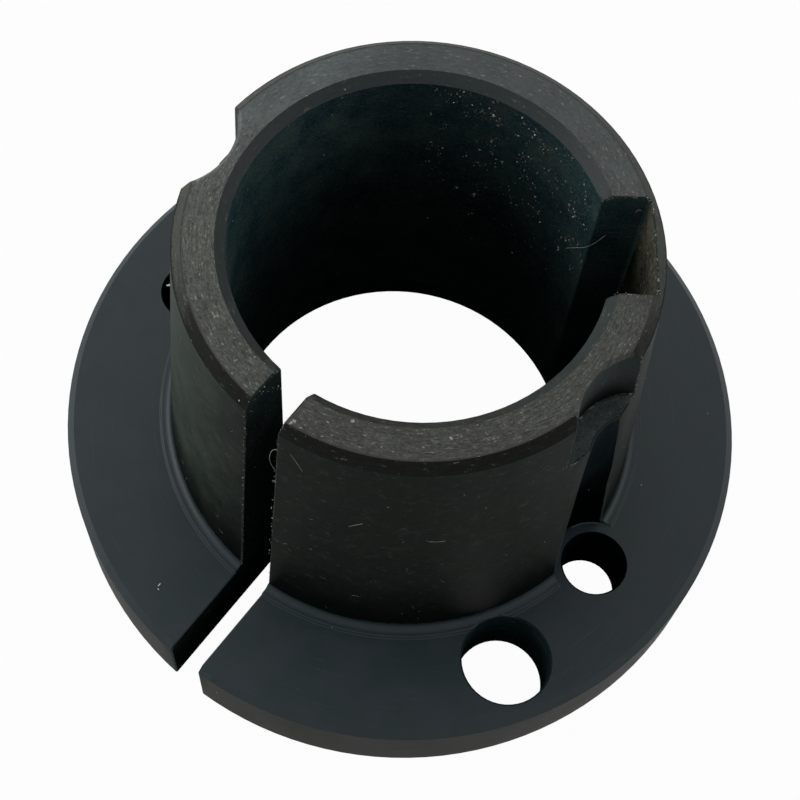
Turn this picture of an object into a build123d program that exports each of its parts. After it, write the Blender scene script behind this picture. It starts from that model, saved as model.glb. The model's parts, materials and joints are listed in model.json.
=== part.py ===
"""Flanged split taper bush: one turned piece that clamps a hub to a shaft.

The bush stands on its flange face. Its axis is Z, and the origin is where the axis meets that face.
Sizes are in millimetres, angles in degrees from +X, anticlockwise seen from the small end.
"""
from build123d import *
import math
import os

# Flange
flange_d = 76.2
flange_thickness = 9.53
flange_edge_break = 0.8

# Shoulder ring and fillet at the root of the barrel
shoulder_d = 54.8
shoulder_height = 0.35
root_fillet = 0.9

# Tapered barrel
overall_length = 48.35
large_end_d = 52.4
taper_half_angle = 4.0
small_end_chamfer = 1.0

# Bore, as it is while the bush is unclamped
bore_d = 36.7
bore_chamfer = 1.0
lead_in_d = 39.2
lead_in_length = 6.0

# Slit that lets the bush close on the shaft
slit_width = 3.7
slit_angle = -121.3

# Keyway, cut until only a thin web of the barrel is left behind it
keyway_width = 10.3
keyway_floor_from_axis = 22.35
keyway_corner_radius = 0.5
keyway_angle = 5.7

# Clearance holes for the cap screws that draw the bush into its hub
cap_screw_hole_d = 9.5
cap_screw_circle_d = 63.2
cap_screw_angles = (-62.9, 117.1)

# Tapped holes that lie partly under the barrel, each by its distance from the axis and its angle
tapped_hole_d = 6.9
tapped_hole_places = ((28.2, -34.9), (28.4, 156.2))

# Edge break at both ends of every flange hole
hole_edge_break = 0.2

# Room over each tapped hole for a long screw: a groove up the barrel in line with the hole, and a recess
# for the screw's head at the small end, which was milled apart and is a little out of line on one side
screw_groove_d = 9.5
head_recess_d = 14.1
head_recess_places = ((28.2, -34.9), (27.7, 159.0))
head_recess_depth = 8.95
head_recess_edge_break = 0.4

cut_overrun = 1.0


def barrel_radius(height):
    """Radius of the tapered barrel at a height over the flange's standing face."""
    return large_end_d / 2 - (height - flange_thickness) * math.tan(math.radians(taper_half_angle))


def turned_blank():
    """Flange, shoulder, barrel and bore, turned from one profile."""
    flange_r = flange_d / 2
    shoulder_r = shoulder_d / 2
    bore_r = bore_d / 2
    shoulder_top = flange_thickness + shoulder_height
    chamfer_foot = overall_length - small_end_chamfer
    root = (barrel_radius(shoulder_top), shoulder_top)
    outline = Polyline(
        (lead_in_d / 2, 0),
        (flange_r, 0),
        (flange_r, flange_thickness - flange_edge_break),
        (flange_r - flange_edge_break, flange_thickness),
        (shoulder_r, flange_thickness),
        (shoulder_r, shoulder_top),
        root,
        (barrel_radius(chamfer_foot), chamfer_foot),
        (barrel_radius(chamfer_foot) - small_end_chamfer, overall_length),
        (bore_r + bore_chamfer, overall_length),
        (bore_r, overall_length - bore_chamfer),
        (bore_r, lead_in_length),
        close=True,
    )
    profile = make_face(outline)
    root_corner = profile.vertices().sort_by_distance(root)[0]
    profile = fillet(root_corner, root_fillet)
    return revolve(Plane.XZ * profile, Axis.Z)


def radial_cut(reach, width, angle):
    """Box from the axis outwards, as wide as the cut and longer than the bush at both ends."""
    length = overall_length + 2 * cut_overrun
    return Rot(0, 0, angle) * Pos(reach / 2, 0, overall_length / 2) * Box(reach, width, length)


def keyway_cut():
    """Keyway box with its floor corners rounded."""
    cut = radial_cut(keyway_floor_from_axis, keyway_width, 0)
    floor_corners = cut.edges().filter_by(Axis.Z).group_by(Axis.X)[-1]
    return Rot(0, 0, keyway_angle) * fillet(floor_corners, keyway_corner_radius)


def place(cutter, distance, angle):
    """Move a cutter from the axis out to its distance and angle."""
    return Rot(0, 0, angle) * Pos(distance, 0, 0) * cutter


def flange_hole(hole_d):
    """Hole through the flange with the edge broken at both faces."""
    hole_r = hole_d / 2
    mouth_r = hole_r + hole_edge_break
    half_break = hole_edge_break / 2
    shank = Pos(0, 0, flange_thickness / 2) * Cylinder(hole_r, flange_thickness + 2 * cut_overrun)
    upper_mouth = Pos(0, 0, flange_thickness - half_break) * Cone(hole_r, mouth_r, hole_edge_break)
    lower_mouth = Pos(0, 0, half_break) * Cone(mouth_r, hole_r, hole_edge_break)
    return shank + upper_mouth + lower_mouth


def screw_groove():
    """Groove that a long screw needs up the barrel, from the flange to the recess for its head."""
    groove_length = overall_length - head_recess_depth - flange_thickness
    return Pos(0, 0, flange_thickness + groove_length / 2) * Cylinder(screw_groove_d / 2, groove_length)


def head_recess():
    """Recess for the head of a long screw, with its rim broken."""
    recess_r = head_recess_d / 2
    recess_length = head_recess_depth + cut_overrun
    recess_bottom = overall_length - head_recess_depth
    recess = Pos(0, 0, recess_bottom + recess_length / 2) * Cylinder(recess_r, recess_length)
    mouth_r = recess_r + head_recess_edge_break
    mouth_height = overall_length - head_recess_edge_break / 2
    mouth = Pos(0, 0, mouth_height) * Cone(recess_r, mouth_r, head_recess_edge_break)
    return recess + mouth


def taper_bush():
    """The turned blank less its slit, keyway, holes and screw reliefs."""
    body = turned_blank() - radial_cut(flange_d, slit_width, slit_angle) - keyway_cut()
    for angle in cap_screw_angles:
        body -= place(flange_hole(cap_screw_hole_d), cap_screw_circle_d / 2, angle)
    tapped_hole_cut = flange_hole(tapped_hole_d) + screw_groove()
    for distance, angle in tapped_hole_places:
        body -= place(tapped_hole_cut, distance, angle)
    for distance, angle in head_recess_places:
        body -= place(head_recess(), distance, angle)
    return body


os.makedirs("parts", exist_ok=True)
export_step(taper_bush(), "parts/taper_bush.step")
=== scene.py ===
"""Finish, threads, burrs and stage for a flanged split taper bush of blackened steel.

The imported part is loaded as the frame. Its body gets soft edges, threads in its tapped holes and a turned
and blackened finish, and the burrs, flakes and hairs that saw, broach and lathe left lie on it.
Lengths are in metres unless a name or a docstring says millimetres, and MM turns one into the other.
"""

import json
import math

import bmesh
import bpy
from bpy.props import FloatProperty, FloatVectorProperty, IntProperty, PointerProperty
from mathutils import Matrix, Vector, noise


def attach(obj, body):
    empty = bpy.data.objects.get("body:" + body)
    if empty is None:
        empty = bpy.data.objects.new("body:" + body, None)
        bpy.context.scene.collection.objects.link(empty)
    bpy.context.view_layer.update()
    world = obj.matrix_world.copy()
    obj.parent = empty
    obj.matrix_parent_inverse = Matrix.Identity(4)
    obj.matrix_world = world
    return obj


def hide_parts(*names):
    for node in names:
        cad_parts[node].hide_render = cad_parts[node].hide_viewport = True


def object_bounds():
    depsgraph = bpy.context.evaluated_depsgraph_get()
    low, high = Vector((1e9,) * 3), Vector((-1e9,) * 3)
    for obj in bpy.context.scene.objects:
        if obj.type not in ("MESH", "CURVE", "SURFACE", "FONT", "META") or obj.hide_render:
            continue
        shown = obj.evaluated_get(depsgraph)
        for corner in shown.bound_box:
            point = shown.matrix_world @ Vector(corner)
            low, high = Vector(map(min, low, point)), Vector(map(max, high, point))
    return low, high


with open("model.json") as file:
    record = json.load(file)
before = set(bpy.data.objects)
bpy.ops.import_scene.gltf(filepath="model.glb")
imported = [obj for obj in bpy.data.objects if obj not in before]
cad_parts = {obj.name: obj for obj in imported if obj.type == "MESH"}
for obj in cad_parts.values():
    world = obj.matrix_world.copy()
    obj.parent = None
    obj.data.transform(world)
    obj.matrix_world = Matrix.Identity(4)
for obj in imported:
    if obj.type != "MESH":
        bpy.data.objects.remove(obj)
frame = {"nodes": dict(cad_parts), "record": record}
cad_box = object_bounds()

bl_info = {
    "name": "Taper bush finish",
    "version": (1, 0, 0),
    "blender": (4, 5, 0),
    "location": "View3D > Sidebar > Taper bush",
    "description": "Gives a packed taper bush its blackened finish, threads, burrs and stage",
    "category": "Object",
}

MM = 0.001
NODE = "taper_bush"
BODY = "root"
TAPPED_HOLES = [m for m in frame["record"]["mounts"] if m["kind"] == "threaded_hole"]

# Heights over the standing face and distances from the axis, in millimetres
TOP_MM = cad_box[1].z / MM
CEILING_MM = TOP_MM - 0.02
FLANGE_TOP_MM = 9.53
FLANGE_RADIUS_MM = 38.1
FILLET_MM = 10.3
BARREL_ROOT_MM = 26.2
BORE_MM = 18.35
RECESS_FLOOR_MM = TOP_MM - 8.95
SLIT_HALF_MM = 1.85
KEYWAY_HALF_MM = 5.15
KEYWAY_FLOOR_MM = 22.35

# Directions about the axis, and the barrel's taper
SLIT = math.radians(-121.3)
KEYWAY = math.radians(5.7)
# Side on which some finishes are painted lighter: painted light from that side
PAINTED_LIGHT_SIDE = math.radians(172)
TAPER = math.radians(4)

# Most that a flake or a hair is turned at random, in radians
FULL_TURN = 6.28

# Edges that turn by more than the first stay sharp, and those of the CAD body past the second are softened
SHARP = math.radians(40)
BEVELLED = math.radians(55)

# Radius at which a cutting mark has its stated length
MARKS_RADIUS_MM = 23.0

# Bare nicks in the small end: radius, degrees and size
END_NICKS = ((22.0, -114.7, 0.20), (22.3, -115.2, 0.24), (19.7, -101.6, 0.22), (20.4, -76.2, 0.20))

# Curls that hang in the slit and in the keyway, as points along, across and up in the cut's own directions
SLIT_CURLS = (
    ((23.5, 1.8, 43.6), (23.4, 1.2, 43.0), (23.8, 1.0, 41.5), (23.8, 1.1, 39.9), (23.5, 1.4, 38.0),
     (23.5, 1.8, 37.2)),
    ((23.6, 1.8, 36.4), (23.9, 1.4, 36.0), (23.7, 1.1, 35.2), (23.5, 1.4, 34.9)),
)
KEYWAY_CURLS = (
    ((16.2, 7.8, 33.4), (16.7, 6.7, 35.6), (17.3, 5.3, 38.0), (18.2, 4.9, 39.8), (18.9, 4.9, 41.4)),
    ((21.2, 5.1, 45.6), (21.1, 4.9, 46.4), (21.6, 4.8, 46.7), (21.9, 5.0, 46.0)),
)

# Single hairs on the barrel, as points by radius, degrees and height
BARREL_HAIRS = (
    ((23.72, -113.2, 45.0), (23.80, -111.6, 44.1), (23.90, -110.0, 42.8)),
    ((24.46, -98.2, 34.4), (24.42, -96.6, 35.2), (24.38, -95.2, 35.8)),
    ((24.62, -80.0, 32.9), (24.62, -78.0, 32.6), (24.62, -76.2, 32.8)),
)

# Large chips: radius, degrees and height, then length, width and turn in degrees
CHIPS = (
    (22.5, -116.2, CEILING_MM - 0.25, 0.40, 0.26, 40), (22.9, -116.1, CEILING_MM - 0.6, 0.28, 0.20, 10),
    (24.32, -175.0, 37.2, 0.70, 0.18, 100), (23.3, -128.4, 47.6, 0.16, 0.08, 0),
    (23.0, -129.8, 47.8, 0.18, 0.12, 60), (24.0, -126.4, 38.6, 0.16, 0.14, 20),
    (34.2, -134.0, 9.6, 0.40, 0.10, -30), (34.6, -133.4, 9.6, 0.25, 0.10, 50),
)

# Where the camera stands, in metres, the turns that aim it, in degrees, and the shift of its view
CAMERA_PLACE = (0, -0.07945, 0.18901)
CAMERA_TURNS = ((6.648, "Z"), (26.649, "X"), (0.614, "Z"))
CAMERA_SHIFT = (0.0993, -0.1035)


# Properties


def colour_prop(name, description, default):
    """A colour that a user may change."""
    return FloatVectorProperty(
        name=name, description=description, subtype="COLOR", size=3, min=0, max=1, default=default)


def length_prop(name, description, default, most):
    """A length that a user may change, from nothing up to the most."""
    return FloatProperty(
        name=name, description=description, subtype="DISTANCE", unit="LENGTH",
        min=0, max=most, default=default)


def power_prop(name, description, default):
    """The power of a lamp, which a user may change."""
    return FloatProperty(name=name, description=description, subtype="POWER", min=0, default=default)


class FinishSettings(bpy.types.PropertyGroup):
    """Colours and edges of the blackened steel."""

    flange: colour_prop("Flange", "Blackened flange", (0.0070, 0.0160, 0.0180))
    rim: colour_prop("Rim", "Turned outside of the flange", (0.0125, 0.0145, 0.0115))
    barrel: colour_prop("Barrel", "Blackened taper", (0.0050, 0.0077, 0.0063))
    chamfer: colour_prop("Chamfer", "Chamfer round the small end", (0.0078, 0.0086, 0.0072))
    faced: colour_prop("Faced end", "Small end, where facing left the finish thin", (0.0290, 0.0310, 0.0265))
    mouth: colour_prop("Mouth", "Chamfer at the mouth of the bore", (0.0250, 0.0310, 0.0305))
    bore: colour_prop("Bore", "Blackened bore and holes", (0.0070, 0.0150, 0.0165))
    sawn: colour_prop("Slit", "Walls of the slit", (0.0080, 0.0130, 0.0125))
    keyway: colour_prop("Keyway floor", "Broached floor of the keyway", (0.0200, 0.0200, 0.0150))
    recess: colour_prop("Recess", "Recess for a screw's head", (0.0180, 0.0225, 0.0225))
    groove: colour_prop("Groove", "Groove for a long screw", (0.0042, 0.0070, 0.0078))
    # Near black as painted shade deep in the tapped holes
    thread: colour_prop("Thread", "Tapped holes, black with oil", (0.0016, 0.0024, 0.0030))
    worn: colour_prop("Worn metal", "Bare metal where the finish is rubbed through", (0.20, 0.20, 0.18))
    edge_softness: length_prop("Edge softness", "Width of the rounding on the sharp edges", 0.00018, 0.001)


class ThreadSettings(bpy.types.PropertyGroup):
    """Thread in the tapped holes."""

    pitch: length_prop("Pitch", "Distance from one thread to the next", 0.00125, 0.003)
    depth: length_prop("Depth", "How far the thread is cut into the hole's wall", 0.00055, 0.001)


class BurrSettings(bpy.types.PropertyGroup):
    """Burrs, flakes and hairs of steel."""

    bright: colour_prop("Bright", "Bare steel of the burrs", (0.50, 0.50, 0.46))
    dull: colour_prop("Dull", "Dull flakes and lint", (0.11, 0.105, 0.08))
    spacing: length_prop("Spacing", "Distance between burrs along an edge", 0.00045, 0.01)
    size: length_prop("Size", "Length of a large burr", 0.00030, 0.002)
    hair: length_prop("Hair", "Thickness of a hair", 0.00006, 0.0005)
    seed: IntProperty(name="Seed", description="Start of the random places", default=3, min=0)


class StageSettings(bpy.types.PropertyGroup):
    """Floor, lamps and camera."""

    floor: colour_prop("Floor", "Colour of the floor", (0.40, 0.40, 0.39))
    lens: FloatProperty(
        name="Lens", description="Focal length of the camera on a 36 mm sensor",
        subtype="DISTANCE_CAMERA", unit="CAMERA", min=10, max=300, default=76.81)
    back_lamp: power_prop("Back lamp", "Power of the large lamp over the back", 3.0)
    left_lamp: power_prop("Left lamp", "Power of the lamp at the left", 3.0)
    right_lamp: power_prop("Right lamp", "Power of the lamp at the right", 0.9)
    sky: FloatProperty(name="Sky", description="Strength of the even light", default=0.45, min=0, max=2)


# Mesh helpers


def link_new(name, data):
    """Put new data in the scene as an object at the origin."""
    obj = bpy.data.objects.new(name, data)
    bpy.context.scene.collection.objects.link(obj)
    return obj


def plain_mesh(obj):
    """Turn an object with modifiers into a plain mesh."""
    graph = bpy.context.evaluated_depsgraph_get()
    mesh = bpy.data.meshes.new_from_object(obj.evaluated_get(graph))
    obj.modifiers.clear()
    obj.data = mesh
    return obj


def finish_piece(obj):
    """Make a piece ride with the bush."""
    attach(obj, BODY)


def turned(point, angle):
    """The point as seen from a frame turned by an angle about the axis."""
    return Matrix.Rotation(-angle, 3, "Z") @ Vector(point)


def from_turned(x, y, z, angle):
    """The point that has these millimetres in a frame turned by an angle about the axis."""
    return Matrix.Rotation(angle, 3, "Z") @ Vector((x, y, z)) * MM


def around(radius, degrees, height):
    """The point at a radius, an angle and a height in millimetres."""
    return from_turned(radius, 0, height, math.radians(degrees))


def azimuth(point):
    """Angle of a point about the axis, in degrees from 0 to 360."""
    return math.degrees(math.atan2(point.y, point.x)) % 360


# Node trees


class Value:
    """A node socket that can stand in a Python expression."""

    def __init__(self, graph, socket):
        self.graph = graph
        self.socket = socket

    def math(self, operation, *others, first=None):
        """A Math node on this value and others, or on a first value and this one."""
        terms = [self, *others] if first is None else [first, self]
        return self.graph.node("ShaderNodeMath", {"operation": operation}, terms)

    def __add__(self, other):
        return self.math("ADD", other)

    def __sub__(self, other):
        return self.math("SUBTRACT", other)

    def __mul__(self, other):
        return self.math("MULTIPLY", other)

    def __truediv__(self, other):
        return self.math("DIVIDE", other)

    def __rsub__(self, other):
        return self.math("SUBTRACT", first=other)

    def __rtruediv__(self, other):
        return self.math("DIVIDE", first=other)

    __radd__ = __add__
    __rmul__ = __mul__

    def between(self, low, high, start=0.0, end=1.0):
        """From start at low to end at high, smooth in between."""
        return self.graph.node(
            "ShaderNodeMapRange", {"interpolation_type": "SMOOTHSTEP"},
            {"Value": self, 1: low, 2: high, 3: start, 4: end})

    def other(self, name):
        """Another output of the node that this value comes from."""
        return Value(self.graph, self.socket.node.outputs[name])


class Graph:
    """A node tree and the one way to add a node to it."""

    def __init__(self, tree):
        self.tree = tree

    def node(self, kind, settings=None, inputs=None, output=0):
        """Add a node: its settings first, then the values or links of its sockets, by name or place."""
        made = self.tree.nodes.new(kind)
        for key, value in (settings or {}).items():
            setattr(made, key, value)
        pairs = inputs.items() if isinstance(inputs, dict) else enumerate(inputs or [])
        for key, value in pairs:
            if isinstance(value, Value):
                self.tree.links.new(value.socket, made.inputs[key])
            else:
                made.inputs[key].default_value = value
        return Value(self, made.outputs[output]) if made.outputs else None

    def parts(self, vector):
        """The x, y and z of a vector."""
        split = self.node("ShaderNodeSeparateXYZ", inputs=[vector])
        return [split.other(axis) for axis in "XYZ"]

    def vector(self, x, y, z):
        """A vector from its x, y and z."""
        return self.node("ShaderNodeCombineXYZ", inputs=[x, y, z])

    def scaled(self, vector, factor):
        """A vector or colour times a number."""
        return self.node("ShaderNodeVectorMath", {"operation": "SCALE"}, {0: vector, "Scale": factor})

    def noise(self, place, scale, detail=2.0, roughness=0.5):
        """Even noise about 0.5 with a scale in waves for each unit."""
        return self.node("ShaderNodeTexNoise", {"noise_dimensions": "3D"},
                         {"Vector": place, "Scale": scale, "Detail": detail, "Roughness": roughness})


class Shader(Graph):
    """A material's node tree."""

    def __init__(self, name):
        self.material = bpy.data.materials.new(name)
        self.material.use_nodes = True
        super().__init__(self.material.node_tree)
        self.tree.nodes.clear()

    def place(self):
        """Object coordinates in millimetres."""
        return self.scaled(self.node("ShaderNodeTexCoord", output="Object"), 1 / MM)

    def place_and_radius(self):
        """The place, its x, y and z, and its distance from the axis."""
        place = self.place()
        x, y, z = self.parts(place)
        return place, x, y, z, (x * x + y * y).math("SQRT")

    def blend(self, factor, first, second):
        """First colour where factor is 0, second where it is 1."""
        first, second = (c if isinstance(c, Value) else (*c, 1.0) for c in (first, second))
        return self.node("ShaderNodeMix", {"data_type": "RGBA"}, {0: factor, 6: first, 7: second}, output=2)

    def specks(self, place, cell, size, share):
        """Small round specks: at most one in a cell, in about a share of the cells."""
        cells = self.node("ShaderNodeTexVoronoi", {"feature": "F1"}, {"Vector": place, "Scale": 1 / cell})
        pick = self.parts(cells.other("Color"))[0]
        return cells.between(size / cell * 0.6, size / cell, 1.0, 0.0) * pick.math("LESS_THAN", share)

    def surface(self, colour, roughness, bump, bump_depth, specular):
        """Close the tree with a principled surface and return the material."""
        normal = self.node("ShaderNodeBump", inputs={
            "Strength": 1.0, "Distance": bump_depth * MM, "Height": bump})
        shaded = self.node("ShaderNodeBsdfPrincipled", inputs={
            "Base Color": colour, "Roughness": roughness, "Metallic": 0.0, "Specular IOR Level": specular,
            "Normal": normal})
        self.node("ShaderNodeOutputMaterial", inputs=[shaded])
        return self.material


class Recipe(Graph):
    """A Geometry Nodes tree with named inputs, which ends in plain geometry of one material."""

    def __init__(self, name, inputs):
        super().__init__(bpy.data.node_groups.new(name, "GeometryNodeTree"))
        interface = self.tree.interface
        interface.new_socket("Geometry", in_out="INPUT", socket_type="NodeSocketGeometry")
        for label, kind in inputs.items():
            interface.new_socket(label, in_out="INPUT", socket_type="NodeSocket" + kind)
        interface.new_socket("Material", in_out="INPUT", socket_type="NodeSocketMaterial")
        interface.new_socket("Geometry", in_out="OUTPUT", socket_type="NodeSocketGeometry")
        start = self.tree.nodes.new("NodeGroupInput")
        self.given = {socket.name: Value(self, socket) for socket in start.outputs if socket.name}

    def random(self, low, high, seed):
        """A random vector or number for each point."""
        if isinstance(low, tuple):
            return self.node(
                "FunctionNodeRandomValue", {"data_type": "FLOAT_VECTOR"}, {0: low, 1: high, 8: seed})
        return self.node(
            "FunctionNodeRandomValue", {"data_type": "FLOAT"}, {2: low, 3: high, 8: seed}, output=1)

    def flake(self):
        """One uneven flake, 1 unit across."""
        ball = self.node("GeometryNodeMeshIcoSphere", inputs={"Radius": 0.5, "Subdivisions": 1})
        bumps = self.node("ShaderNodeTexNoise", inputs={"Scale": 2.3}, output="Color")
        shift = self.node("ShaderNodeVectorMath", {"operation": "SUBTRACT"}, [bumps, (0.5, 0.5, 0.5)])
        return self.node("GeometryNodeSetPosition", inputs={"Geometry": ball, "Offset": shift})

    def strew(self, points, chance, shape, size, seed):
        """A shape at some of the points, turned and scaled at random, most of them small."""
        whole = self.random(0.0, 1.0, seed + 1)
        length = (whole * whole * whole * 0.75 + 0.25) * size
        spread = self.scaled(self.random((0.5, 0.25, 0.3), (1.0, 0.6, 0.7), seed + 2), length)
        spin = self.random((0.0, 0.0, 0.0), (FULL_TURN, FULL_TURN, FULL_TURN), seed + 3)
        return self.node("GeometryNodeInstanceOnPoints", inputs={
            "Points": points, "Selection": self.random(0.0, 1.0, seed).math("LESS_THAN", chance),
            "Instance": shape, "Rotation": spin, "Scale": spread})

    def close(self, geometry):
        """End in plain geometry of one material, with nothing above the small end."""
        whole = self.node("GeometryNodeRealizeInstances", inputs=[geometry])
        x, y, z = self.parts(self.node("GeometryNodeInputPosition"))
        under = self.node("GeometryNodeSetPosition", inputs={
            "Geometry": whole, "Position": self.vector(x, y, z.math("MINIMUM", CEILING_MM * MM))})
        dressed = self.node("GeometryNodeSetMaterial", inputs={
            "Geometry": under, "Material": self.given["Material"]})
        self.node("NodeGroupOutput", inputs=[dressed])
        return self

    def apply(self, obj, **values):
        """Run the tree on an object with these inputs and keep the plain result."""
        modifier = obj.modifiers.new(self.tree.name, "NODES")
        modifier.node_group = self.tree
        for item in self.tree.interface.items_tree:
            if item.in_out == "INPUT" and item.name in values:
                modifier[item.identifier] = values[item.name]
        return plain_mesh(obj)


# Finishes


def nick_spots(shader, place, nicks):
    """Single bare spots with ragged outlines on the small end."""
    sway = 0.5
    ragged = shader.node("ShaderNodeVectorMath", {"operation": "ADD"}, [
        place, shader.scaled(shader.noise(place, 3.0).other("Color"), sway)])
    for radius, degrees, size in nicks:
        middle = around(radius, degrees, TOP_MM) / MM + Vector((sway, sway, sway)) / 2
        away = shader.node(
            "ShaderNodeVectorMath", {"operation": "DISTANCE"}, [ragged, middle], output="Value")
        yield away.between(size * 0.5, size, 1.0, 0.0)


def blackened(name, colour, worn, across=None, line=0.2, dash=1.6, marks=0.3, roughness=0.5, specular=0.1,
              specks=0.02, speck_colour=(0.35, 0.34, 0.3), mottle=0.3, second=None, bump_depth=0.01,
              rubbed=(0.0, 0.0), height_shade=None, border=None, grit=0.6, flecks=0.0, painted_back_span=None,
              scuffs=0.0, nicks=()):
    """Blackened steel.

    Cutting marks follow each other across the radius or the height, line millimetres apart and dash long.
    The colour drifts towards the second one in clouds, or from front to back, where the lighter back is
    painted light. Rubbed makes it lighter on one side and on the side across from it, which is painted light
    too. Between two heights it takes painted shade and light from start to end, which dims marks and scuffs
    too. The border is a colour that begins raggedly where the radius or the height passes a place. Grit is
    the contrast of the fine grain, flecks are short dashes of bare metal, fewer where the back is painted
    lighter, and scuffs are wide thin patches of it. Nicks are single bare spots on the small end.
    """
    shader = Shader(name)
    place, x, y, z, radius = shader.place_and_radius()
    east, north = x / radius, y / radius
    coordinate = {"radius": radius, "height": z}
    cloud = shader.noise(place, 0.22, 4.0, 0.55)
    grain = shader.noise(place, 4.0, 3.0, 0.7)
    if across:
        spin = MARKS_RADIUS_MM / dash
        run = shader.vector(coordinate[across] / line, east * spin, north * spin)
        lines = shader.noise(run, 1.0, 2.0, 0.6)
    else:
        lines = shader.noise(shader.vector(x / line, y / line, z / dash), 1.0, 2.0)

    # Painted light: the colour turns towards the second one from front to back, and marks and flecks fade
    # there
    if painted_back_span:
        painted_back_light = (y + (cloud - 0.5) * 16.0).between(*painted_back_span)
        drift = painted_back_light
    else:
        painted_back_light = 0.0
        drift = cloud.between(0.40, 0.60)
    tinted = shader.blend(drift, colour, second or [c * 1.15 for c in colour])

    rough = (lines - 0.5) * (2 * marks) + (grain - 0.5) * (2 * grit)
    shade = (cloud - 0.5) * (2 * mottle) + rough * (1.0 - painted_back_light * 0.6) + 1.0
    # Painted light: lighter on one side of the axis and on the side across from it
    side = east * math.cos(PAINTED_LIGHT_SIDE) + north * math.sin(PAINTED_LIGHT_SIDE) + (cloud - 0.5) * 0.5
    near, far = rubbed
    shade = shade * (side.between(0.35, 0.90, 1.0, 1.0 + near) + side.between(-0.90, -0.35, far, 0.0))
    dimmed = 1.0
    # Painted shade and light: the colour is scaled from start to end between two heights
    if height_shade:
        low, high, start, end = height_shade
        level = (z + (cloud - 0.5) * 3.0).between(low, high, start, end)
        shade = shade * level
        dimmed = level.math("MINIMUM", 1.0)
    tinted = shader.scaled(tinted, shade.math("MAXIMUM", 0.12))

    thin = lines.between(0.62, 0.74) * grain.between(0.42, 0.60) * min(1.0, marks * 0.8)
    tinted = shader.blend(thin * dimmed, tinted, worn)
    if border:
        axis, low, high, border_colour = border
        edge = (coordinate[axis] + (grain - 0.5) * 0.5 + (lines - 0.5) * 0.3).between(low, high)
        tinted = shader.blend(edge, tinted, border_colour)
    if scuffs:
        scuff = shader.noise(place, 0.8, 6.0, 0.75).between(0.50, 0.72)
        tinted = shader.blend(scuff * scuffs * dimmed, tinted, worn)

    dots = shader.specks(place, 0.9, 0.09, specks * 4).math(
        "MAXIMUM", shader.specks(place, 2.3, 0.15, specks * 2))
    if flecks:
        run = shader.vector(coordinate[across] / 0.22, east * 48.0, north * 48.0)
        dashes = shader.noise(run, 1.0, 1.0).between(0.72 - flecks, 0.77 - flecks)
        patches = shader.noise(place, 0.55, 3.0, 0.7).between(0.40, 0.62, 0.25, 1.0)
        dots = dots.math("MAXIMUM", dashes * patches * (1.0 - painted_back_light * 0.8))
    if nicks:
        for spot in nick_spots(shader, place, nicks):
            dots = dots.math("MAXIMUM", spot)
    tinted = shader.blend(dots, tinted, speck_colour)

    uneven = (cloud - 0.5) * 0.16 + (grain - 0.5) * 0.2 + roughness
    bump = lines * marks + grain * 0.7 + dots * 2.0
    return shader.surface(tinted, uneven, bump, bump_depth, specular)


def worn_edge(settings):
    """Edges whose finish is rubbed through in places, more towards the small end but not in the bore, on a
    base with painted highlight along the barrel and painted shade in the bore.
    """
    shader = Shader("worn_edge")
    place, _, _, z, radius = shader.place_and_radius()
    grain = shader.noise(place, 2.6, 4.0, 0.75)
    patch = shader.noise(place, 0.5, 2.0)
    # Painted shade: edges deep in the bore take a darker colour
    inside = radius.between(19.5, 20.5, 1.0, 0.0) * z.between(TOP_MM - 1.5, TOP_MM - 0.9, 1.0, 0.0)
    upwards = z.between(10, TOP_MM, 0.10, 0.9)
    rubbed = grain.between(0.50, 0.62) * patch.between(0.38, 0.58) * upwards * (1.0 - inside)
    # Painted highlight: edges above the flange are much lighter than the barrel
    base = shader.blend(z.between(9.6, 11.0), settings.flange, [c * 2.6 for c in settings.barrel])
    base = shader.blend(inside, base, [c * 0.6 for c in settings.bore])
    return shader.surface(shader.blend(rubbed, base, settings.worn), grain * 0.3 + 0.5, grain, 0.02, 0.05)


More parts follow.
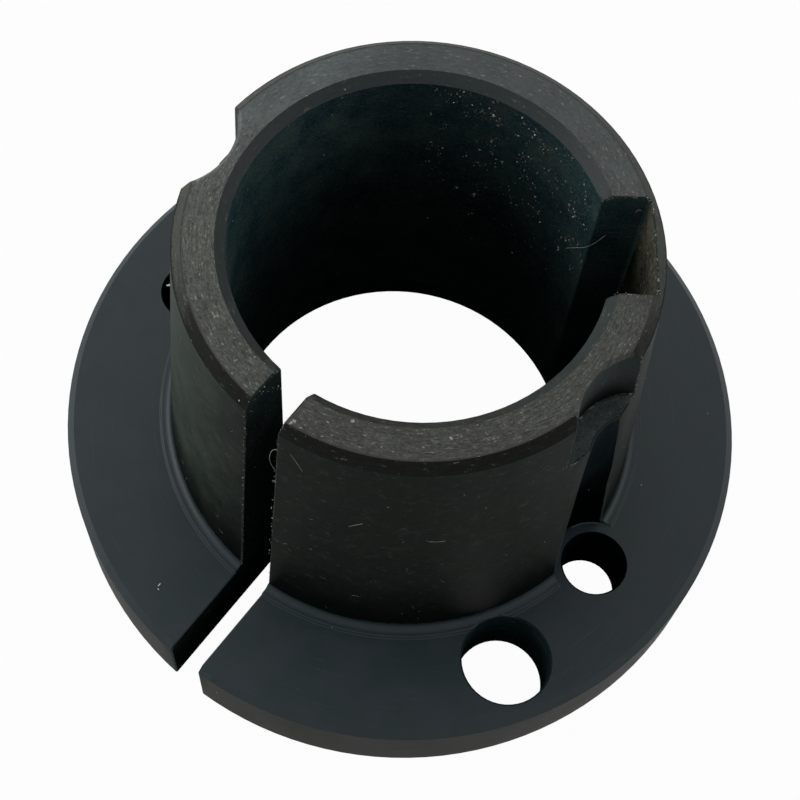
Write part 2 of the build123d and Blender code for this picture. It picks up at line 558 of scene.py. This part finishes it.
def bush_finishes(settings, end_radius):
    """The body's materials by the name of the surface that they cover."""
    worn = settings.worn
    foot = 10.2
    return {
        "edge": worn_edge(settings),
        "flange": blackened(
            "flange_oxide", settings.flange, worn, "radius", 0.25, 6.0, marks=0.08, roughness=0.46,
            specular=0.25, specks=0.002, mottle=0.30, second=(0.0098, 0.0160, 0.0205), bump_depth=0.005,
            grit=0.15),
        "rim": blackened(
            "rim_oxide", settings.rim, worn, "height", 0.25, 5.0, marks=0.2, specular=0.02, specks=0.004,
            grit=0.2),
        # Painted light and shade: lighter on one side and the side across, darker towards the foot
        "barrel": blackened(
            "barrel_oxide", settings.barrel, worn, "height", 0.22, 1.2, marks=0.4, roughness=0.6,
            specular=0.04, specks=0.02, mottle=0.4, second=(0.0061, 0.0080, 0.0063), rubbed=(2.8, 0.8),
            grit=0.9, scuffs=0.06, height_shade=(foot, foot + 14.0, 0.06, 1.0)),
        # Painted light: the chamfer turns from dark at the front to light at the back
        "chamfer": blackened(
            "chamfer_oxide", settings.chamfer, worn, "height", 0.2, 1.2, marks=0.7, roughness=0.6,
            specular=0.06, specks=0.004, grit=1.0, second=(0.0500, 0.0530, 0.0470),
            painted_back_span=(-13.0, -3.0), border=("height", TOP_MM - 0.78, TOP_MM - 0.95, settings.barrel)),
        # Painted light: the small end gets lighter and cooler towards the back, and lighter on one side
        "faced": blackened(
            "faced_steel", settings.faced, worn, "radius", 0.15, 0.9, marks=1.5, roughness=0.5,
            specular=0.25, specks=0.012, speck_colour=(0.24, 0.24, 0.21), mottle=0.4,
            second=(0.0370, 0.0440, 0.0440), bump_depth=0.03, rubbed=(0.7, 0.15), grit=1.5, flecks=0.035,
            painted_back_span=(-2.0, 16.0), scuffs=0.05, nicks=END_NICKS,
            border=("radius", end_radius - 0.25, end_radius + 0.02, settings.chamfer)),
        # Painted light: the front of the mouth takes the small end's colour and the rest the cooler mouth
        # colour, as lit and shaded copies
        "mouth": blackened(
            "mouth_steel", settings.faced, worn, "height", 0.25, 1.5, marks=0.6, roughness=0.5,
            specular=0.12, specks=0.01, mottle=0.2, second=settings.mouth, grit=0.8,
            painted_back_span=(-17.5, -13.0)),
        # Painted light: the bore gets lighter towards the top and on one side
        "bore": blackened(
            "bore_oxide", settings.bore, worn, "height", 0.25, 1.2, marks=0.3, roughness=0.8, specular=0.0,
            specks=0.02, speck_colour=(0.12, 0.11, 0.08), mottle=0.8, second=(0.0086, 0.0150, 0.0142),
            grit=1.2, scuffs=0.03, rubbed=(0.6, 0.3), height_shade=(TOP_MM - 26.0, TOP_MM - 4.0, 1.2, 2.2)),
        # Painted light: the slit's walls get lighter towards the top
        "sawn": blackened(
            "sawn_oxide", settings.sawn, worn, None, 0.5, 0.25, marks=0.4, roughness=0.8, specular=0.0,
            specks=0.012, grit=0.9, height_shade=(TOP_MM - 18.0, TOP_MM, 0.7, 1.7)),
        # Painted shade and light: darker low in the keyway and lighter high
        "keyway": blackened(
            "keyway_oxide", settings.keyway, worn, None, 0.5, 0.7, marks=0.7, roughness=0.7, specular=0.0,
            specks=0.06, speck_colour=(0.25, 0.24, 0.19), mottle=0.9, grit=1.5, scuffs=0.08,
            height_shade=(TOP_MM - 12.0, TOP_MM - 1.0, 0.3, 2.4)),
        # Painted light: the floor is the recess colour made 2.4 times lighter than the wall's, as a lit copy
        "recess": blackened(
            "recess_oxide", [c * 2.4 for c in settings.recess], worn, None, 0.6, 0.4, marks=0.4,
            roughness=0.6, specular=0.06, specks=0.02, grit=0.9),
        # Painted shade: the wall darkens towards the floor
        "recess_wall": blackened(
            "recess_wall_oxide", settings.recess, worn, None, 0.5, 1.5, marks=0.15, roughness=0.6,
            specular=0.02, specks=0.02, grit=0.9, height_shade=(TOP_MM - 9.2, TOP_MM - 3.0, 0.1, 1.2)),
        # Painted shade: darker towards the bottom of the groove
        "groove": blackened(
            "groove_oxide", settings.groove, worn, None, 0.5, 4.0, marks=0.08, roughness=0.7, specular=0.0,
            specks=0.01, height_shade=(16.0, 38.0, 0.1, 2.4)),
        # Painted shade: the tapped holes are near black, darker than the bore
        "thread": blackened(
            "thread_oxide", settings.thread, worn, "height", 0.3, 3.0, marks=0.1, roughness=0.9,
            specular=0.0, specks=0.0),
    }


def in_keyway(centre, up, outward):
    """Whether an upright face belongs to the keyway's floor or walls."""
    x, y, _ = turned(centre, KEYWAY) / MM
    radius = centre.xy.length / MM
    reach = KEYWAY_FLOOR_MM + 0.95
    return (x > 0 and abs(y) < KEYWAY_HALF_MM + 0.15 and BORE_MM - 0.35 < radius < reach
            and abs(up) < 0.3 and outward < 0.3)


def on_barrel(radius, z, up, outward):
    """Whether a face lies on the tapered outside of the barrel and not in one of its cuts."""
    barrel_radius = BARREL_ROOT_MM - (z - FLANGE_TOP_MM) * math.tan(TAPER)
    return z > FILLET_MM - 0.1 and outward > 0.97 and abs(up) < 0.2 and radius > barrel_radius - 0.3


def surface_of(centre, normal):
    """Name of the turned or cut surface that a face belongs to."""
    x, y, z = centre / MM
    radius = math.hypot(x, y)
    up = normal.z
    outward = (normal.x * x + normal.y * y) / radius
    if z < FILLET_MM and up > 0.9 or z < 0.1 and up < -0.9:
        return "flange"
    if z > TOP_MM - 0.1 and up > 0.9:
        return "faced"
    for mount in TAPPED_HOLES:
        away = Vector(mount["pos_m"]) / MM - Vector((x, y, z))
        if away.xy.length < mount["dims"]["r_mm"] + 0.75 and z < FLANGE_TOP_MM - 0.08:
            return "thread"
    if radius > FLANGE_RADIUS_MM - 0.2 and abs(up) < 0.3:
        return "rim"
    if abs(turned(normal, SLIT).y) > 0.98 and abs(turned(centre, SLIT).y) < (SLIT_HALF_MM + 0.15) * MM:
        return "sawn"
    if in_keyway(centre, up, outward):
        return "keyway" if turned(normal, KEYWAY).x < -0.8 else "bore"
    if z > TOP_MM - 1.1 and 0.5 < up < 0.9:
        radial = outward / normal.xy.length
        if radial < -0.97:
            return "mouth"
        return "chamfer" if radial > 0.99 and radius > 22.3 else "faced"
    if radius < BORE_MM + 1.65 or (z < 9.5 and radius < FLANGE_RADIUS_MM - 1.1 and abs(up) < 0.8):
        return "bore"
    if on_barrel(radius, z, up, outward):
        return "barrel"
    if z > RECESS_FLOOR_MM - 0.4:
        return "recess" if up > 0.7 else "recess_wall"
    if z > FILLET_MM + 0.2 and abs(up) < 0.1:
        return "groove"
    return "flange"


def finish_of_edge(centre):
    """Finish of a softened edge: the flange's and the bore's keep their oxide, the others are rubbed in
    places and painted lighter.
    """
    radius, z = centre.xy.length / MM, centre.z / MM
    if z < FILLET_MM and 24 < radius < FLANGE_RADIUS_MM - 0.6:
        return "flange"
    if radius < 21 and z < TOP_MM - 1.3:
        return "bore"
    return "edge"


# Body


def thread_recipe():
    """Wall of a tapped hole, cut outwards by a thread that runs out at both ends."""
    recipe = Recipe("thread", {"Radius": "Float", "Length": "Float", "Pitch": "Float", "Depth": "Float"})
    given = recipe.given
    tube = recipe.node("GeometryNodeMeshCylinder", {"fill_type": "NONE"}, {
        "Vertices": 48, "Side Segments": 72, "Radius": given["Radius"], "Depth": given["Length"]})
    x, y, z = recipe.parts(recipe.node("GeometryNodeInputPosition"))
    turn = y.math("ARCTAN2", x) / (2 * math.pi)
    phase = (z / given["Pitch"] - turn).math("FRACT")
    ridge = (1.0 - (phase * 2.0 - 1.0).math("ABSOLUTE")).between(0.10, 0.90)
    reach = (given["Length"] * 0.5 - z.math("ABSOLUTE")).between(0.1 * MM, 1.0 * MM)
    cut = ridge * reach * given["Depth"] / given["Radius"]
    moved = recipe.node("GeometryNodeSetPosition", inputs={
        "Geometry": tube, "Offset": recipe.vector(x * cut, y * cut, 0.0)})
    return recipe.close(moved)


def cut_threads(shape, settings):
    """Swap the plain walls of the tapped holes for threaded ones, stitched to the holes' mouths."""
    recipe = thread_recipe()
    for mount in TAPPED_HOLES:
        centre = Vector(mount["pos_m"])
        radius, length = mount["dims"]["r_mm"] * MM, mount["dims"]["length_mm"] * MM

        def on_wall(vertex):
            away = vertex.co - centre
            off = abs(math.hypot(away.x, away.y) - radius)
            return off < 0.02 * MM and abs(away.z) < length / 2 + 0.01 * MM

        wall = [f for f in shape.faces if all(on_wall(v) for v in f.verts) and abs(f.normal.z) < 0.2]
        if not wall:
            raise RuntimeError("no wall found for " + mount["name"])
        bmesh.ops.delete(shape, geom=wall, context="FACES")
        tube = link_new("thread_wall", bpy.data.meshes.new("thread_wall"))
        recipe.apply(
            tube, Radius=radius, Length=length - 0.3 * MM, Pitch=settings.pitch, Depth=settings.depth)
        tube.data.transform(Matrix.Translation(centre))
        shape.from_mesh(tube.data)
        bpy.data.objects.remove(tube)
        for end in (-1, 1):
            edge_height = centre.z + end * length / 2
            loops = [e for e in shape.edges if e.is_boundary and all(
                (v.co - centre).xy.length < radius + 0.05 * MM and abs(v.co.z - edge_height) < 0.3 * MM
                for v in e.verts)]
            bmesh.ops.bridge_loops(shape, edges=loops)
    bmesh.ops.recalc_face_normals(shape, faces=shape.faces)


def mark_sharp(mesh, soft_index):
    """Mark the edges where two surfaces meet, but none inside a softened edge, and return their keys."""
    beside = {}
    for polygon in mesh.polygons:
        for key in polygon.edge_keys:
            beside.setdefault(key, []).append(polygon)
    sharp = {key for key, (first, second) in beside.items()
             if first.normal.angle(second.normal) > SHARP
             and not first.material_index == second.material_index == soft_index}
    for edge in mesh.edges:
        edge.use_edge_sharp = edge.key in sharp
    return sharp


def turned_normals(mesh, sharp):
    """Give faces round the axis the normals of the true turned surface, whatever their triangles.

    Each corner takes the area-weighted mean of the faces round it, each one first turned about the axis
    to the corner's own angle. Sharp edges keep their faces apart.
    """
    def on_axis(polygon):
        flat = Vector((polygon.normal.x, polygon.normal.y))
        out = Vector((polygon.center.x, polygon.center.y))
        return flat.length < 0.05 or abs(flat.normalized().dot(out.normalized())) > 0.996

    axial = [on_axis(polygon) for polygon in mesh.polygons]
    edge_keys = [set(polygon.edge_keys) for polygon in mesh.polygons]
    fans = [[] for _ in mesh.vertices]
    for polygon in mesh.polygons:
        for vertex in polygon.vertices:
            fans[vertex].append(polygon.index)
    normals = [Vector((0, 0, 1))] * len(mesh.loops)

    def seen_from(index, place):
        polygon = mesh.polygons[index]
        if not axial[index]:
            return polygon.normal
        swing = math.atan2(place.y, place.x) - math.atan2(polygon.center.y, polygon.center.x)
        return Matrix.Rotation(swing, 3, "Z") @ polygon.normal

    for polygon in mesh.polygons:
        for loop in polygon.loop_indices:
            vertex = mesh.loops[loop].vertex_index
            group, border = {polygon.index}, [polygon.index]
            while border:
                here = border.pop()
                for other in fans[vertex]:
                    if other not in group and any(
                            vertex in key and key not in sharp for key in edge_keys[here] & edge_keys[other]):
                        group.add(other)
                        border.append(other)
            total = Vector()
            for index in group:
                total += seen_from(index, mesh.vertices[vertex].co) * mesh.polygons[index].area
            normals[loop] = total.normalized()
    mesh.normals_split_custom_set(normals)


def soften_edges(body, width, edge_index):
    """Round the weighted edges, and give the rounding its own material."""
    bevel = body.modifiers.new("soft edges", "BEVEL")
    bevel.limit_method = "WEIGHT"
    bevel.width = width
    bevel.segments = 2
    bevel.use_clamp_overlap = False
    bevel.material = edge_index
    plain_mesh(body)


def merged_cad():
    """The CAD node's triangles as one closed mesh with flat faces joined."""
    shape = bmesh.new()
    shape.from_mesh(frame["nodes"][NODE].data)
    bmesh.ops.remove_doubles(shape, verts=shape.verts, dist=0.002 * MM)
    bmesh.ops.dissolve_limit(shape, angle_limit=math.radians(0.3), verts=shape.verts, edges=shape.edges)
    return shape


class BUSH_OT_body(bpy.types.Operator):
    """Make the bush's body: softened edges, threads and the blackened finish"""

    bl_idname = "taper_bush.body"
    bl_label = "Finish the body"

    def execute(self, context):
        settings = context.scene.bush_finish
        shape = merged_cad()
        end_radius = max(v.co.xy.length for v in shape.verts if v.co.z > (TOP_MM - 0.01) * MM) / MM
        weight = shape.edges.layers.float.new("bevel_weight_edge")
        for edge in shape.edges:
            if edge.is_manifold and edge.calc_face_angle() > BEVELLED:
                edge[weight] = 1.0
        cut_threads(shape, context.scene.bush_thread)
        mesh = bpy.data.meshes.new("bush_body")
        shape.to_mesh(mesh)
        shape.free()
        body = link_new("bush_body", mesh)
        finishes = bush_finishes(settings, end_radius)
        names = list(finishes)
        mesh.materials.clear()
        for material in finishes.values():
            mesh.materials.append(material)
        for polygon in mesh.polygons:
            polygon.material_index = names.index(surface_of(polygon.center, polygon.normal))
        edge_index = names.index("edge")
        soften_edges(body, settings.edge_softness, edge_index)
        for polygon in body.data.polygons:
            polygon.use_smooth = True
        sharp = mark_sharp(body.data, edge_index)
        for polygon in body.data.polygons:
            if polygon.material_index == edge_index:
                polygon.material_index = names.index(finish_of_edge(polygon.center))
        turned_normals(body.data, sharp)
        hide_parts(NODE)
        finish_piece(body)
        return {"FINISHED"}


# Burrs, flakes and hairs


def steel_bits(name, colour, spread):
    """Small bits of steel, some lighter than others."""
    shader = Shader(name)
    place = shader.place()
    tone = shader.noise(place, 1.7, 2.0)
    grain = shader.noise(place, 30.0, 2.0)
    tinted = shader.scaled(shader.blend(grain, colour, [c * 0.8 for c in colour]),
                           tone.between(0.35, 0.65, 1.0 - spread, 1.0))
    return shader.surface(tinted, grain * 0.3 + 0.3, grain, 0.005, 0.4)


def burr_recipe():
    """Burrs along edges."""
    recipe = Recipe("burrs", {"Spacing": "Float", "Size": "Float", "Chance": "Float", "Seed": "Int"})
    given = recipe.given
    path = recipe.node("GeometryNodeMeshToCurve", inputs=[given["Geometry"]])
    path = recipe.node("GeometryNodeResampleCurve", {"mode": "LENGTH"}, {
        "Curve": path, "Length": given["Spacing"]})
    shake = recipe.random((-0.5, -0.5, -0.5), (0.5, 0.5, 0.5), given["Seed"] + 7)
    path = recipe.node("GeometryNodeSetPosition", inputs={
        "Geometry": path, "Offset": recipe.scaled(shake, given["Size"])})
    return recipe.close(recipe.strew(path, given["Chance"], recipe.flake(), given["Size"], given["Seed"]))


def flake_recipe():
    """Flakes on faces, in clumps, denser towards the high end of a band."""
    recipe = Recipe("flakes", {
        "Density": "Float", "Size": "Float", "Low": "Float", "High": "Float", "Clump": "Float",
        "Seed": "Int"})
    given = recipe.given
    points = recipe.node("GeometryNodeDistributePointsOnFaces", inputs={
        "Mesh": given["Geometry"], "Density": given["Density"], "Seed": given["Seed"]})
    place = recipe.node("GeometryNodeInputPosition")
    height = recipe.parts(place)[2].between(given["Low"], given["High"])
    clump = recipe.noise(place, 350.0, 1.0).between(given["Clump"], given["Clump"] + 0.12)
    chance = height * clump
    return recipe.close(recipe.strew(points, chance, recipe.flake(), given["Size"], given["Seed"] + 20))


def lint_recipe():
    """Short curved hairs that lie on faces."""
    recipe = Recipe("lint", {"Density": "Float", "Length": "Float", "Thickness": "Float", "Seed": "Int"})
    given = recipe.given
    points = recipe.node("GeometryNodeDistributePointsOnFaces", inputs={
        "Mesh": given["Geometry"], "Density": given["Density"], "Seed": given["Seed"]})
    lift = recipe.scaled(points.other("Normal"), given["Thickness"])
    raised = recipe.node("GeometryNodeSetPosition", inputs={"Geometry": points, "Offset": lift})
    spin = recipe.vector(0.0, 0.0, recipe.random(0.0, FULL_TURN, given["Seed"] + 1))
    turned_points = recipe.node("FunctionNodeRotateRotation", {"rotation_space": "LOCAL"}, [
        points.other("Rotation"), spin])
    arc = recipe.node("GeometryNodeCurveArc", {"mode": "RADIUS"}, {
        "Resolution": 7, "Radius": 1.0, "Start Angle": 0.0, "Sweep Angle": 1.1})
    size = recipe.random(0.3, 1.0, given["Seed"] + 2) * given["Length"]
    hairs = recipe.node("GeometryNodeInstanceOnPoints", inputs={
        "Points": raised, "Instance": arc, "Rotation": turned_points,
        "Scale": recipe.vector(size, size, size)})
    hairs = recipe.node("GeometryNodeRealizeInstances", inputs=[hairs])
    ring = recipe.node("GeometryNodeCurvePrimitiveCircle", {"mode": "RADIUS"}, {
        "Resolution": 5, "Radius": given["Thickness"] * 0.5})
    return recipe.close(recipe.node("GeometryNodeCurveToMesh", inputs={
        "Curve": hairs, "Profile Curve": ring, "Fill Caps": True}))


def wires(name, lines, thickness):
    """Smooth round wires along lines of points, as one plain mesh with closed ends."""
    curve = bpy.data.curves.new(name, "CURVE")
    curve.dimensions = "3D"
    curve.bevel_depth = thickness / 2
    curve.bevel_resolution = 1
    curve.use_fill_caps = True
    for points in lines:
        spline = curve.splines.new("NURBS")
        spline.points.add(len(points) - 1)
        for target, point in zip(spline.points, points):
            target.co = (*point, 1.0)
        spline.order_u = 3
        spline.use_endpoint_u = True
        spline.resolution_u = 6
    drawn = link_new(name, curve)
    mesh = bpy.data.meshes.new_from_object(drawn.evaluated_get(bpy.context.evaluated_depsgraph_get()))
    bpy.data.objects.remove(drawn)
    return link_new(name, mesh)


def edges_where(shape, test):
    """A new mesh of the sharp edges whose two ends both pass a test."""
    mesh = bpy.data.meshes.new("edges")
    points, edges = [], []
    for edge in shape.edges:
        is_sharp = edge.is_manifold and edge.calc_face_angle() > SHARP
        if is_sharp and all(test(v.co / MM) for v in edge.verts):
            edges.append((len(points), len(points) + 1))
            points += [v.co.copy() for v in edge.verts]
    mesh.from_pydata(points, edges, [])
    return mesh


def faces_where(body, finish, test):
    """A new mesh of the body's faces of one finish whose middles pass a test."""
    source = body.data
    wanted = source.materials.find(finish)
    faces = [p for p in source.polygons if p.material_index == wanted and test(p.center / MM)]
    used = sorted({v for p in faces for v in p.vertices})
    place = {v: n for n, v in enumerate(used)}
    corners = [[place[v] for v in p.vertices] for p in faces]
    mesh = bpy.data.meshes.new("faces")
    mesh.from_pydata([source.vertices[v].co for v in used], [], corners)
    return mesh


def on_slit_edge(point):
    """On the slit's edges, on the barrel and the small end."""
    across = turned(point, SLIT)
    on_barrel_or_end = (point.z > FILLET_MM + 0.2 and point.xy.length > 21) or point.z > TOP_MM - 1.2
    return across.x > 0 and abs(abs(across.y) - SLIT_HALF_MM) < 0.05 and on_barrel_or_end


def on_keyway_edge(point):
    """On the keyway's edges at the small end."""
    across = turned(point, KEYWAY)
    on_outline = abs(abs(across.y) - KEYWAY_HALF_MM) < 0.1 or abs(across.x - KEYWAY_FLOOR_MM) < 0.1
    return point.z > TOP_MM - 1.2 and across.x > 17 and on_outline


def in_bore(start, end):
    """Test for places in the upper bore between two angles in degrees."""
    return lambda p: start < azimuth(p) < end and p.z > 20 and p.xy.length < BORE_MM + 0.25


class BUSH_OT_burrs(bpy.types.Operator):
    """Leave burrs along the edges of the slit and the keyway"""

    bl_idname = "taper_bush.burrs"
    bl_label = "Add burrs"

    def execute(self, context):
        settings = context.scene.bush_burr
        shape = merged_cad()
        recipe = burr_recipe()
        bright = steel_bits("burr_steel", settings.bright, 0.75)
        for name, test, size, chance in (
                ("slit_burrs", on_slit_edge, 0.85, 0.65), ("keyway_burrs", on_keyway_edge, 1.2, 0.35)):
            piece = link_new(name, edges_where(shape, test))
            recipe.apply(piece, Spacing=settings.spacing, Size=settings.size * size, Chance=chance,
                         Seed=settings.seed, Material=bright)
            if not piece.data.polygons:
                raise RuntimeError("no edges found for " + name)
            finish_piece(piece)
        shape.free()
        return {"FINISHED"}


class BUSH_OT_flakes(bpy.types.Operator):
    """Strew flakes of steel over the bore, the chamfer, the slit and the keyway"""

    bl_idname = "taper_bush.flakes"
    bl_label = "Add flakes"

    def execute(self, context):
        settings = context.scene.bush_burr
        body = bpy.data.objects["bush_body"]
        recipe = flake_recipe()
        bright = steel_bits("flake_steel", settings.bright, 0.6)
        dull = steel_bits("dull_flake", settings.dull, 0.7)
        spots = (
            ("bore_flakes", "bore_oxide", in_bore(25, 92), 2.6e6, 2.0, 18, 42, 0.44, dull),
            ("bore_glints", "bore_oxide", in_bore(22, 85), 1.5e6, 1.7, 24, 42, 0.46, bright),
            ("bore_left_flakes", "bore_oxide", in_bore(120, 240), 0.8e6, 1.4, 26, 44, 0.48, dull),
            ("chamfer_glints", "chamfer_oxide", lambda p: True, 1.0e6, 0.6, 40, 41, 0.47, bright),
            ("slit_glints", "sawn_oxide", lambda p: p.z > 12, 1.5e6, 1.7, 38, 47, 0.42, bright),
            ("keyway_glints", "keyway_oxide", lambda p: True, 2.5e6, 0.9, 38, 48, 0.42, dull),
        )
        for name, finish, test, density, size, low, high, clump, material in spots:
            piece = link_new(name, faces_where(body, finish, test))
            recipe.apply(piece, Density=density, Size=settings.size * size, Low=low * MM, High=high * MM,
                         Clump=clump, Seed=settings.seed, Material=material)
            if not piece.data.polygons:
                raise RuntimeError("no flakes fell for " + name)
            finish_piece(piece)
        return {"FINISHED"}


class BUSH_OT_hairs(bpy.types.Operator):
    """Lay hairs of steel and lint on the barrel, and curls in the slit and the keyway"""

    bl_idname = "taper_bush.hairs"
    bl_label = "Add hairs"

    def execute(self, context):
        settings = context.scene.bush_burr
        body = bpy.data.objects["bush_body"]
        dull = steel_bits("lint_steel", settings.dull, 0.5)
        lint = link_new("barrel_lint", faces_where(body, "barrel_oxide", lambda p: p.y < 0))
        lint_recipe().apply(lint, Density=1.6e4, Length=0.9 * MM, Thickness=settings.hair * 0.7,
                            Seed=settings.seed, Material=dull)
        finish_piece(lint)
        lines = [[from_turned(*point, SLIT) for point in curl] for curl in SLIT_CURLS]
        lines += [[from_turned(*point, KEYWAY) for point in curl] for curl in KEYWAY_CURLS]
        lines += [[around(*point) for point in hair] for hair in BARREL_HAIRS]
        piece = wires("curls", lines, settings.hair)
        piece.data.materials.clear()
        piece.data.materials.append(steel_bits("curl_steel", [c * 0.45 for c in settings.bright], 0.3))
        finish_piece(piece)
        return {"FINISHED"}


class BUSH_OT_chips(bpy.types.Operator):
    """Leave the few large chips: at the slit's corner, at the barrel's side and on the flange"""

    bl_idname = "taper_bush.chips"
    bl_label = "Add chips"

    def execute(self, context):
        settings = context.scene.bush_burr
        # Unless it is given a seed, the noise starts at another place in each run
        noise.seed_set(settings.seed + 1)
        shape = bmesh.new()
        for number, (radius, degrees, height, length, width, turn) in enumerate(CHIPS):
            made = bmesh.ops.create_icosphere(shape, subdivisions=2, radius=0.5)
            scale = Matrix.Diagonal((width * MM, length * MM, width * MM * 0.8, 1.0))
            spin = Matrix.Rotation(math.radians(turn), 4, "Z")
            for vertex in made["verts"]:
                vertex.co += noise.noise_vector(vertex.co * 2.5 + Vector((number * 7.0, 0, 0))) * 0.5
            where = Matrix.Translation(around(radius, degrees, height))
            bmesh.ops.transform(shape, matrix=where @ spin @ scale, verts=made["verts"])
        for vertex in shape.verts:
            vertex.co.z = min(vertex.co.z, CEILING_MM * MM)
        mesh = bpy.data.meshes.new("chips")
        shape.to_mesh(mesh)
        shape.free()
        mesh.materials.append(steel_bits("chip_steel", [min(1.0, c * 1.5) for c in settings.bright], 0.2))
        finish_piece(link_new("chips", mesh))
        return {"FINISHED"}


# Stage


def seen_by_eye(graph):
    """1 where the camera looks straight, in gloss or through glass, and 0 for the light on things."""
    rays = graph.node("ShaderNodeLightPath")
    seen = rays.other("Is Camera Ray").math("MAXIMUM", rays.other("Is Glossy Ray"))
    return seen.math("MAXIMUM", rays.other("Is Transmission Ray"))


def floor_material(settings):
    """Pale floor that still takes the bush's shadow."""
    shader = Shader("pale_floor")
    matt = shader.node("ShaderNodeBsdfDiffuse", inputs={"Color": (*settings.floor, 1.0)})
    white = shader.node("ShaderNodeEmission", inputs={"Color": (1, 1, 1, 1), "Strength": 1.0})
    mixed = shader.node("ShaderNodeMixShader", inputs=[seen_by_eye(shader) * 0.97, matt, white])
    shader.node("ShaderNodeOutputMaterial", inputs=[mixed])
    return shader.material


def add_lamp(name, place, size, power, target=(0, 0, 0.02)):
    """Square soft lamp at a place, turned to its target."""
    light = bpy.data.lights.new(name, "AREA")
    light.shape = "SQUARE"
    light.size = size
    light.energy = power
    lamp = link_new(name, light)
    lamp.location = place
    lamp.rotation_euler = (Vector(target) - Vector(place)).to_track_quat("-Z", "Y").to_euler()


def add_floor(settings):
    """Wide flat floor just under the bush."""
    mesh = bpy.data.meshes.new("floor")
    shape = bmesh.new()
    bmesh.ops.create_grid(shape, x_segments=1, y_segments=1, size=1.5)
    bmesh.ops.translate(shape, vec=(0, 0, -0.03 * MM), verts=shape.verts)
    shape.to_mesh(mesh)
    shape.free()
    mesh.materials.append(floor_material(settings))
    link_new("floor", mesh)


def add_sky(scene, strength):
    """Even white light, which the camera and gloss see as plain white."""
    world = bpy.data.worlds.new("studio")
    scene.world = world
    world.use_nodes = True
    world.node_tree.nodes.clear()
    sky = Graph(world.node_tree)
    level = seen_by_eye(sky) * (1.0 - strength) + strength
    back = sky.node("ShaderNodeBackground", inputs={"Color": (1, 1, 1, 1), "Strength": level})
    sky.node("ShaderNodeOutputWorld", inputs=[back])


def add_camera(scene, focal_length):
    """Camera in front of the bush and above it, without depth of field."""
    lens = bpy.data.cameras.new("camera")
    lens.sensor_width = 36
    lens.lens = focal_length
    lens.shift_x, lens.shift_y = CAMERA_SHIFT
    lens.clip_start, lens.clip_end = 0.01, 10
    place = Matrix.Translation(CAMERA_PLACE)
    for degrees, axis in CAMERA_TURNS:
        place @= Matrix.Rotation(math.radians(degrees), 4, axis)
    camera = link_new("camera", lens)
    camera.matrix_world = place
    scene.camera = camera


class BUSH_OT_stage(bpy.types.Operator):
    """Lay the floor, hang the lamps and set up the camera"""

    bl_idname = "taper_bush.stage"
    bl_label = "Set the stage"

    def execute(self, context):
        scene = context.scene
        settings = scene.bush_stage
        add_floor(settings)
        add_sky(scene, settings.sky)
        add_lamp("back_lamp", (-0.20, 0.60, 0.75), 1.0, settings.back_lamp)
        add_lamp("left_lamp", (-0.60, 0.05, 0.30), 0.5, settings.left_lamp)
        add_lamp("right_lamp", (0.60, 0.05, 0.35), 0.4, settings.right_lamp)
        add_camera(scene, settings.lens)
        scene.view_settings.view_transform = "Standard"
        return {"FINISHED"}


class BUSH_PT_panel(bpy.types.Panel):
    """Taper bush tools in the sidebar"""

    bl_idname = "BUSH_PT_panel"
    bl_label = "Taper bush"
    bl_space_type = "VIEW_3D"
    bl_region_type = "UI"
    bl_category = "Taper bush"

    def draw(self, context):
        for operator in OPERATORS:
            self.layout.operator(operator.bl_idname)


OPERATORS = (BUSH_OT_body, BUSH_OT_burrs, BUSH_OT_flakes, BUSH_OT_hairs, BUSH_OT_chips, BUSH_OT_stage)
SETTINGS = {"bush_finish": FinishSettings, "bush_thread": ThreadSettings, "bush_burr": BurrSettings,
            "bush_stage": StageSettings}


def register():
    for cls in (*SETTINGS.values(), *OPERATORS, BUSH_PT_panel):
        bpy.utils.register_class(cls)
    for name, cls in SETTINGS.items():
        setattr(bpy.types.Scene, name, PointerProperty(type=cls))


def unregister():
    for name in SETTINGS:
        delattr(bpy.types.Scene, name)
    for cls in (BUSH_PT_panel, *reversed(OPERATORS), *reversed(SETTINGS.values())):
        bpy.utils.unregister_class(cls)


def main():
    register()
    bpy.ops.taper_bush.body()
    bpy.ops.taper_bush.burrs()
    bpy.ops.taper_bush.flakes()
    bpy.ops.taper_bush.hairs()
    bpy.ops.taper_bush.chips()
    bpy.ops.taper_bush.stage()


if __name__ == "__main__":
    main()
